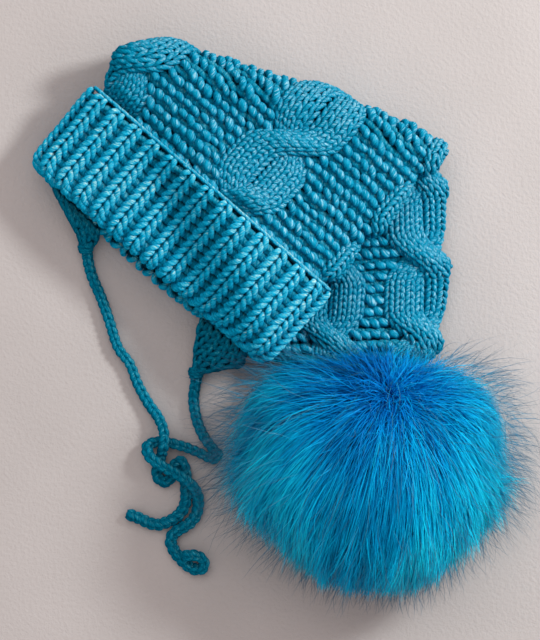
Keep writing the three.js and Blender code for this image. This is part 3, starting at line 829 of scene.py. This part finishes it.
def knit_flap(name, table, node):
    heap = Yarns()
    fine = np.linspace(0, 4, 81)
    left, across, up = flap_edges(table, fine)
    width = np.linalg.norm(across, axis=1)
    middle = left + across / 2
    run = np.concatenate([[0], np.cumsum(np.linalg.norm(np.diff(middle, axis=0), axis=1))])
    s = np.linspace(0, 1, 7)
    for face in (1, -1):
        for row in np.arange(-2, run[-1] - 1.5, FLAP_ROW):
            half = float(np.interp(row + 3, run, width)) / 2 - 3.0
            wales = int(half // FLAP_WALE)
            for wale in range(-wales, wales + 1):
                for leg in (-1, 1):
                    mm = np.maximum(row + (1 - s) * FLAP_ROW * 1.5, 0)
                    at = np.interp(mm, run, fine)[None]
                    offset = (wale * FLAP_WALE + leg * mix(*FLAP_SPREAD, s))[None]
                    height = face * (FLAP_THICK / 2 - 1.5 + 1.9 * np.sin(math.pi * s))[None]
                    centres, way = flap_point(table, at, offset, height)
                    thick = FLAP_YARN * tapered(7)[None]
                    heap.add(centres, way * face, thick, thick, 6)
    links = round(run[-1] / FLAP_EDGE_LINK)
    for edge in (-1, 1):
        for side in (-1, 1):
            begin = np.arange(links)[:, None] * run[-1] / links - 1
            mm = np.clip(begin + s * 6.4, 0, run[-1])
            at = np.interp(mm, run, fine)
            half = np.interp(mm, run, width) / 2
            offset = edge * (half - 1.3 + 0.4 * np.sin(math.pi * s))
            height = side * mix(0.4, 1.4, s) + np.zeros_like(mm)
            centres, way = flap_point(table, at, offset, height)
            thick = FLAP_EDGE_YARN * tapered(7) * np.ones((links, 1))
            heap.add(centres, way, thick, thick, 6)
    tip = flap_point(table, np.array([4.0]), np.zeros(1), np.zeros(1))[0][0]
    turn = np.linspace(0, 2 * math.pi, 17)
    for k, radius in enumerate(BINDING_RADII):
        tilt = rng.normal(0, 0.5, 3)
        level = np.full(17, 1.4 - 1.5 * k)
        ring = np.stack([radius * np.cos(turn), level, radius * 0.8 * np.sin(turn)], axis=-1)
        ring[:, 1] += tilt[0] * np.sin(turn + tilt[1])
        ring = ring + tip + (0, 0, 0.6)
        ring[:, 2] = np.maximum(ring[:, 2], 1.3)
        thick = np.full((1, 17), BINDING_YARN)
        heap.add(ring[None], unit(ring - tip)[None], thick, thick, 6)
    # The flap takes the yarn painted darker, as the shade under the cuff.
    heap.object(name + "_stitches", YARN_FLAP_PAINTED_SHADE, node)
    rings = []
    for share, side in FLAP_ROUND:
        offset = share * np.maximum(width / 2 - 1.4, 0.4)
        rings.append(flap_point(table, fine, offset, side * np.full_like(fine, FLAP_THICK / 2 - 1.4))[0])
    closed = np.stack(rings, axis=1)
    ends = [np.repeat(closed[i].mean(axis=0)[None], len(FLAP_ROUND), axis=0) for i in (0, -1)]
    strip_object(name + "_wall", [ends[0], *closed, ends[1]], UNDERLAY, node)


knit_flap("left_flap", LEFT_FLAP, "ear_flap_left")
knit_flap("right_flap", RIGHT_FLAP, "ear_flap_right")


# Tie cords
CORD_DIAMETER = 6.2
CORD_WALES = 2
CORD_ROW = 4.4
CORD_LEG = 6.4
CORD_SPREAD = (0.2, 1.3)
CORD_YARN = 1.6
CORD_CORE = 2.3
CORD_START_TURN = 1.2
CORD_TURN_PER_MM = 0.006
LEFT_CORD = [
    (51.4, -149.9, 4.4), (52.0, -156, 3.6), (54.6, -166, 3.2), (59.8, -178.2, 3.2), (65.1, -193.2, 3.2),
    (70.2, -208.8, 3.2), (77.2, -218.4, 3.2), (82, -230.6, 3.2), (88.6, -242.6, 3.2), (94.8, -251.4, 5.2),
    (98, -259.6, 9.2), (98, -266.8, 10.2), (96.4, -273.8, 5.0), (94, -280.6, 3.2), (94, -286.9, 3.2),
    (98.4, -290, 3.2), (102.6, -286.6, 3.2), (104.2, -280.2, 3.2), (107.8, -277.2, 3.2), (110.8, -283, 3.2),
    (111, -292, 3.2), (111.2, -300, 3.2), (109.6, -306, 3.2), (105.2, -311.2, 3.2), (99.6, -314.2, 3.2),
    (93.4, -315.8, 3.2), (87.4, -314, 3.2), (82.4, -311.6, 3.2), (75.6, -309.2, 3.2),
]
RIGHT_CORD = [
    (118, -225.2, 4.8), (116.6, -232.6, 3.6), (115.8, -239.4, 3.2), (116.6, -247, 3.2), (118.6, -255, 3.2),
    (122.2, -262.8, 3.2), (127, -269.2, 3.2), (130.6, -273.8, 3.2), (127.8, -276.2, 3.2),
    (120.4, -272.8, 3.2), (110.6, -268.8, 3.2), (100.6, -266.2, 3.2), (93.2, -265.6, 3.4),
    (88, -268.4, 5.8), (89.4, -274.2, 9.8), (96, -279.4, 10.6), (103.4, -283.6, 10.2),
    (111, -288.2, 10), (116.6, -293.8, 7.2), (118.6, -300.4, 3.6), (118, -307.4, 3.2),
    (115, -313.4, 3.2), (109.2, -317.6, 3.2), (103.8, -321, 3.2), (102, -325.8, 3.2),
    (104.2, -331.6, 3.2), (109.6, -338, 3.2), (116, -342.6, 3.2), (121.6, -341.6, 4.2),
    (121.8, -336.8, 6.2), (117.4, -334, 8.4), (108.2, -334.4, 10),
]


def cord_line(points, step=0.5):
    """A centripetal curve through the points, at even steps, with a steady frame along it."""
    p = np.array(points, float)
    p = np.vstack([2 * p[0] - p[1], p, 2 * p[-1] - p[-2]])
    line = []
    for i in range(1, len(p) - 2):
        a, b, c, d = p[i - 1 : i + 3]
        t1 = math.sqrt(np.linalg.norm(b - a))
        t2 = t1 + math.sqrt(np.linalg.norm(c - b))
        t3 = t2 + math.sqrt(np.linalg.norm(d - c))
        t = np.linspace(t1, t2, 40, endpoint=False)[:, None]
        ab = mix(a, b, t / t1)
        bc = mix(b, c, (t - t1) / (t2 - t1))
        cd = mix(c, d, (t - t2) / (t3 - t2))
        line.append(mix(mix(ab, bc, t / t2), mix(bc, cd, (t - t1) / (t3 - t1)), (t - t1) / (t2 - t1)))
    line = np.vstack([*line, p[-2][None]])
    run = np.concatenate([[0], np.cumsum(np.linalg.norm(np.diff(line, axis=0), axis=1))])
    count = int(run[-1] / step) + 1
    even = np.linspace(0, run[-1], count)
    line = np.stack([np.interp(even, run, line[:, i]) for i in range(3)], axis=1)
    along = unit(np.gradient(line, axis=0))
    side = np.empty_like(along)
    side[0] = unit(np.cross(along[0], [0, 0, 1]))
    for i in range(1, count):
        side[i] = unit(side[i - 1] - along[i] * (side[i - 1] @ along[i]))
    return line, along, side, even


def knit_cord(name, points, node):
    line, along, side, run = cord_line(points)
    lift = np.cross(side, along)

    def ring_point(mm, angle, radius):
        def pick(grid):
            return np.stack([np.interp(mm, run, grid[:, i]) for i in range(3)], axis=-1)

        out = unit(pick(side) * np.cos(angle)[..., None] + pick(lift) * np.sin(angle)[..., None])
        return pick(line) + out * np.asarray(radius)[..., None], out

    heap = Yarns()
    s = np.linspace(0, 1, 7)
    rows = np.arange(0, run[-1] - CORD_LEG * 0.6, CORD_ROW)[:, None]
    for wale in range(CORD_WALES):
        for leg in (-1, 1):
            mm = np.minimum(rows + rng.normal(0, 0.12, rows.shape) + s * CORD_LEG, run[-1])
            turn = 2 * math.pi * wale / CORD_WALES + CORD_START_TURN + mm * CORD_TURN_PER_MM
            angle = turn + leg * mix(*CORD_SPREAD, s)
            arch = 1.1 * np.sin(math.pi * np.clip(s * 1.1, 0, 1))
            radius = CORD_DIAMETER / 2 - 1.9 + arch + np.zeros_like(mm)
            centres, out = ring_point(mm, angle, radius)
            thick = CORD_YARN * tapered(7) * np.ones_like(mm)
            heap.add(centres, out, thick, thick, 8)
    core = np.linspace(0, run[-1], len(run) // 6)[None]
    centres, out = ring_point(core, np.zeros_like(core), np.zeros_like(core))
    thick = CORD_CORE * np.minimum(1, np.sqrt(np.minimum(core, run[-1] - core) / 2.5) + 0.05)
    heap.add(centres, out, thick, thick, 10)
    # The cord takes the yarn painted darker, as the shade it lies in.
    cord = heap.object(name, YARN_CORD_PAINTED_SHADE, node)


knit_cord("left_tie", LEFT_CORD, "tie_cord_left")
knit_cord("right_tie", RIGHT_CORD, "tie_cord_right")


# Pompom
POMPOM_MIDDLE = np.array([225.0, -281.0, 43.0])
POMPOM_SIZE = np.array([68.0, 64.0, 47.0])
FUR_ROOT = unit(np.array([0.12, 0.74, 0.66]))
FUR_RIGHT = 312.0
FUR_NEAR = -360.0
CLUMP_COUNT = 900
CLUMP_BATCH = 4000
FUR_NEAR_TIE = [
    (0.1, (0.0, 0.04, 0.19)),
    (0.4, (0.0, 0.135, 0.5)),
    (0.66, (0.0, 0.23, 0.68)),
    (0.95, (0.0, 0.44, 0.85)),
]
FUR_AWAY = [
    (0.1, (0.0, 0.05, 0.15)),
    (0.4, (0.0, 0.25, 0.53)),
    (0.66, (0.0, 0.48, 0.8)),
    (0.95, (0.01, 0.78, 1.0)),
]


def fur_material(name):
    """Long synthetic fur: the uv map holds a number for each hair and the share of the way along it."""
    n = Nodes(name)
    uv = n.yarn_uv()
    where = n.where()
    tie = (POMPOM_MIDDLE + FUR_ROOT * POMPOM_SIZE - HAT_MIDDLE) * MM
    away = n.node("ShaderNodeVectorMath", {0: where, 1: tuple(tie)}, operation="DISTANCE").outputs["Value"]
    outer = n.between(away, 0.02, 0.095)
    patch = n.noise(where, 24.0, 2.0)
    place = n.node("ShaderNodeSeparateXYZ", {0: where}).outputs[0]
    # It is raised less on its left side, which the lamp leaves in shade.
    # Painted light: the fur's tone is raised on its right side, toward the key lamp.
    painted_key_light = n.between(place, 0.05, 0.14)
    painted_fill_light = n.between(place, 0.035, -0.02)
    parts = [(uv[1], 0.0, 0.3), (uv[0], 0.0, 0.56), (patch, 0.42, 0.6)]
    tone = n.weighed(0.0, parts + [(painted_key_light, 0.0, 0.42), (painted_fill_light, 0.0, 0.24)])
    color = n.blend(outer, n.ramp(tone, FUR_NEAR_TIE), n.ramp(tone, FUR_AWAY))
    made = n.finish(color, None, Roughness=0.4, Specular_IOR_Level=0.14)
    n.surface.inputs["Specular Tint"].default_value = (0.15, 0.7, 1.0, 1.0)
    return made


# Painted shade: the head under the hair is coloured dark, as the shade deep in the fur.
def fur_core_material(name):
    n = Nodes(name)
    where = n.where()
    patch = n.noise(where, 160.0, 4.0)
    color = n.ramp(patch, [(0.3, (0.0, 0.03, 0.09)), (0.75, (0.0, 0.09, 0.24))])
    return n.finish(color, n.bump(patch, 0.003, 1.0), Roughness=0.9, Specular_IOR_Level=0.1)


def wisp_material(name):
    n = Nodes(name)
    uv = n.yarn_uv()
    root = n.ramp(uv[0], [(0.1, (0.0, 0.16, 0.33)), (0.9, (0.0, 0.34, 0.56))])
    tip = n.ramp(uv[0], [(0.1, (0.012, 0.05, 0.10)), (0.9, (0.05, 0.17, 0.27))])
    color = n.blend(n.between(uv[1], 0.1, 0.55), root, tip)
    return n.finish(color, None, Roughness=0.5, Specular_IOR_Level=0.3)


FUR = fur_material("fur")
FUR_CORE_PAINTED_SHADE = fur_core_material("fur_core_painted_shade")
FUR_WISP = wisp_material("fur_wisps")


def even_directions(count):
    i = np.arange(count) + 0.5
    height = 1 - 2 * i / count
    turn = i * math.pi * (3 - math.sqrt(5))
    ring = np.sqrt(1 - height**2)
    return np.stack([ring * np.cos(turn), ring * np.sin(turn), height], axis=-1)


CLUMPS = even_directions(CLUMP_COUNT)
CLUMP_TURN = rng.normal(0, 0.22, (CLUMP_COUNT, 3))
CLUMP_REACH = rng.normal(0, 3.5, CLUMP_COUNT)
CLUMP_TONE = rng.uniform(0, 1, CLUMP_COUNT)
FINE_STREAKS = rng.uniform(0, 1, 110)
BROAD_STREAKS = rng.uniform(0, 1, 34)
SIDE_OF_ROOT = unit(np.cross(FUR_ROOT, [1.0, 0.0, 0.0]))
OTHER_SIDE = np.cross(FUR_ROOT, SIDE_OF_ROOT)


def streak_at(way):
    """How light the fur is, from 0 to 1, in each direction round the tie."""
    turn = np.arctan2(way @ OTHER_SIDE, way @ SIDE_OF_ROOT) / (2 * math.pi) + 0.5
    share = 0
    for table, part in ((FINE_STREAKS, 0.55), (BROAD_STREAKS, 0.45)):
        at = turn * len(table)
        share = share + part * np.interp(at, np.arange(len(table) + 1), np.append(table, table[0]))
    return share


def fur_points(out, reach_start, reach_end, sweep, s, clump, gather):
    """Points along hairs (n, k, 3) that leave the head at out and sweep away from where it is tied."""
    ahead = unit(out - FUR_ROOT * 0.9)
    chosen = unit(CLUMPS[clump] - FUR_ROOT * 0.9 + CLUMP_TURN[clump])
    ahead = unit(mix(ahead, chosen, gather[:, None]))
    share = (sweep[:, None] * s[None, :])[..., None]
    way = unit(mix(out[:, None, :], ahead[:, None, :], share))
    reach = reach_start[:, None] + (reach_end - reach_start)[:, None] * s[None, :]
    reach = reach * (1 - 0.35 * smooth(0.2, 0.9, -way[..., 1]) * (reach > 0))
    reach = reach + 9 * smooth(0.0, 0.6, way[..., 1]) * smooth(0.3, 0.8, np.abs(way[..., 0]))
    lower = smooth(0.2, 0.7, -way[..., 1])
    reach = reach + 6 * smooth(0.3, 0.8, -way[..., 0]) * (1 - lower)
    reach = reach - 5 * lower * smooth(0.35, 0.7, np.abs(way[..., 0]))
    size = POMPOM_SIZE[None, None] + reach[..., None] * np.array([1, 0.9, 0.6])
    return POMPOM_MIDDLE + way * size


def grow_fur(
    name, count, reaches, thick, segments, gather_most,
    spread=None, flat=None, material=FUR, wavy=1.0, sweeps=(0.5, 1.05),
):
    """Hairs all over the head, or only round the tie with a spread, or only near the outline with flat."""
    out = unit(rng.normal(0, 1, (count * 2, 3)) * (1, 1, flat or 1))
    if spread:
        out = unit(FUR_ROOT + rng.normal(0, spread, (count * 2, 3)))
    out = out[out[:, 2] > -0.75][:count]
    count = len(out)
    clump = np.empty(count, int)
    for start in range(0, count, CLUMP_BATCH):
        batch = slice(start, start + CLUMP_BATCH)
        clump[batch] = np.argmax(out[batch] @ CLUMPS.T, axis=1)
    near = np.clip((out @ FUR_ROOT - 0.35) / 0.55, 0, 1)
    if flat:
        near = near * (np.abs(out[:, 0]) < 0.5)
    streak = streak_at(out)
    reach_end = rng.uniform(*reaches, count) + CLUMP_REACH[clump] + 9 * (streak - 0.5)
    reach_end = mix(reach_end, rng.uniform(2, 9, count), near)
    reach_start = mix(rng.uniform(-16, -5, count), rng.uniform(-6, 0, count), near)
    if flat:
        reach_start = rng.uniform(5, 14, count)
    sweep = rng.uniform(*sweeps, count)
    gather = rng.uniform(0.1, gather_most, count) * (1 - near)
    s = np.linspace(0, 1, segments + 1)
    centres = fur_points(out, reach_start, reach_end, sweep, s, clump, gather)
    wave = rng.normal(0, 0.9, (count, 1, 3)) * np.sin(math.pi * s)[None, :, None]
    wave += rng.normal(0, 1.6, (count, 1, 3)) * (s**2)[None, :, None]
    centres = centres + wave * wavy
    centres[..., 2] = np.maximum(centres[..., 2], 0.4)
    for axis, way, edge, room in ((0, 1, FUR_RIGHT, 13.0), (1, -1, FUR_NEAR, 15.0)):
        past = np.maximum((centres[..., axis] - edge) * way, 0)
        centres[..., axis] -= way * (past - room * np.tanh(past / room))
    along = unit(np.gradient(centres, axis=1))
    facing = unit(centres - POMPOM_MIDDLE + rng.normal(0, 22, (count, 1, 3)))
    side = unit(np.cross(along, facing))
    width = (thick * rng.uniform(0.7, 1.3, (count, 1)) * (1 - s**2 * 0.92)[None, :])[..., None] / 2
    verts = np.stack([centres - side * width, centres + side * width], axis=2)
    index = np.arange(count * (segments + 1) * 2).reshape(count, segments + 1, 2)
    faces = np.stack([index[:, :-1, 0], index[:, :-1, 1], index[:, 1:, 1], index[:, 1:, 0]], axis=-1)
    hair = 0.3 * rng.uniform(0, 1, count) + 0.3 * CLUMP_TONE[clump]
    hair = (hair + 0.4 * np.clip(1.6 * streak - 0.3, 0, 1))[:, None]
    low = np.broadcast_to(s[:-1], (count, segments))
    high = np.broadcast_to(s[1:], (count, segments))
    each = np.broadcast_to(hair, (count, segments))
    uvs = np.stack([np.stack([each, v], -1) for v in (low, low, high, high)], axis=-2)
    data = (verts.reshape(-1, 3), faces.reshape(-1, 4), uvs.reshape(-1, 2))
    make_object(name, *data, material, "pompom", "fur")


def pompom_core():
    across = 96
    down = 56
    turn = 2 * math.pi * np.arange(across) / across
    rings = []
    for tilt in np.linspace(0.001, math.pi - 0.001, down):
        level = np.full(across, math.cos(tilt))
        way = np.stack([math.sin(tilt) * np.cos(turn), math.sin(tilt) * np.sin(turn), level], -1)
        lump = 0.03 * np.sin(7 * way[:, 0] + 3) * np.sin(8 * way[:, 1])
        lump = lump + 0.03 * np.sin(9 * way[:, 2] + 5 * way[:, 0])
        point = POMPOM_MIDDLE + way * POMPOM_SIZE * (0.9 + lump)[:, None]
        point[:, 2] = np.maximum(point[:, 2], 0.5)
        rings.append(point)
    verts = np.concatenate(rings)
    index = np.arange(across * down).reshape(down, across)
    a, b = index[:-1], index[1:]
    faces = np.stack([a, b, np.roll(b, -1, axis=1), np.roll(a, -1, axis=1)], axis=-1)
    make_object("pompom_core", verts, faces.reshape(-1, 4), None, FUR_CORE_PAINTED_SHADE, "pompom", "fur")


pompom_core()
grow_fur("pompom_fur_a", 22000, (8, 19), 0.75, 4, 0.8)
grow_fur("pompom_fur_b", 16800, (4, 17), 0.75, 4, 0.9)
grow_fur("pompom_fur_tie", 4500, (4, 10), 0.7, 4, 0.3, spread=0.25, wavy=2.4, sweeps=(0.1, 0.75))
grow_fur(
    "pompom_wisps", 4200, (16, 44), 0.26, 5, 0.75,
    flat=0.4, material=FUR_WISP, wavy=1.6, sweeps=(0.05, 0.6),
)


# Floor, light and camera
FLOOR_HALF = 2.5
WORLD_COLOR = (1.0, 0.9, 0.885, 1.0)
WORLD_STRENGTH = 0.52


def floor_material():
    n = Nodes("plaster_floor")
    where = n.where()
    fine = n.noise(where, 420.0, 3.0, 0.6)
    broad = n.noise(where, 9.0, 2.0)
    color = n.ramp(broad, [(0.3, (0.572, 0.534, 0.52)), (0.7, (0.628, 0.586, 0.572))])
    return n.finish(color, n.bump(fine, 0.0009, 0.6), Roughness=0.9, Specular_IOR_Level=0.15)


def make_floor():
    mesh = bpy.data.meshes.new("floor")
    half = FLOOR_HALF
    corners = [(-half, -half, 0), (half, -half, 0), (half, half, 0), (-half, half, 0)]
    mesh.from_pydata(corners, [], [(0, 1, 2, 3)])
    mesh.materials.append(floor_material())
    floor = bpy.data.objects.new("floor", mesh)
    bpy.context.scene.collection.objects.link(floor)


def area_light(name, place, size, power, color):
    """A round lamp that looks at the origin."""
    light = bpy.data.lights.new(name, "AREA")
    light.shape = "DISK"
    light.size = size
    light.energy = power
    light.color = color
    lamp = bpy.data.objects.new(name, light)
    lamp.location = place
    way = -np.array(place, float)
    lamp.rotation_euler = (
        math.atan2(math.hypot(way[0], way[1]), -way[2]),
        0.0,
        math.atan2(way[1], way[0]) - math.pi / 2,
    )
    bpy.context.scene.collection.objects.link(lamp)


make_floor()
area_light("key", (0.95, 0.52, 0.86), 0.28, 13.3, (0.955, 0.99, 0.985))
area_light("fill", (-0.3, 0.9, 1.6), 1.4, 5.3, (1.0, 0.95, 0.94))
world = bpy.data.worlds.new("studio")
world.use_nodes = True
world.node_tree.nodes["Background"].inputs[0].default_value = WORLD_COLOR
world.node_tree.nodes["Background"].inputs[1].default_value = WORLD_STRENGTH
bpy.context.scene.world = world
bpy.context.scene.view_settings.view_transform = "Standard"

CAMERA_AWAY = 2.2
VIEW_LEVEL = 0.02
camera_data = bpy.data.cameras.new("camera")
camera_data.type = "PERSP"
camera_data.sensor_fit = "VERTICAL"
camera_data.sensor_height = 24.0
camera_data.lens = camera_data.sensor_height * CAMERA_AWAY / (PHOTO_SIZE[1] * PIXEL * MM)
camera = bpy.data.objects.new("camera", camera_data)
camera.location = (
    (PHOTO_SIZE[0] / 2 * PIXEL - HAT_MIDDLE[0]) * MM,
    (-PHOTO_SIZE[1] / 2 * PIXEL - HAT_MIDDLE[1]) * MM,
    CAMERA_AWAY + VIEW_LEVEL,
)
camera.rotation_euler = (0.0, 0.0, 0.0)
bpy.context.scene.collection.objects.link(camera)
bpy.context.scene.camera = camera
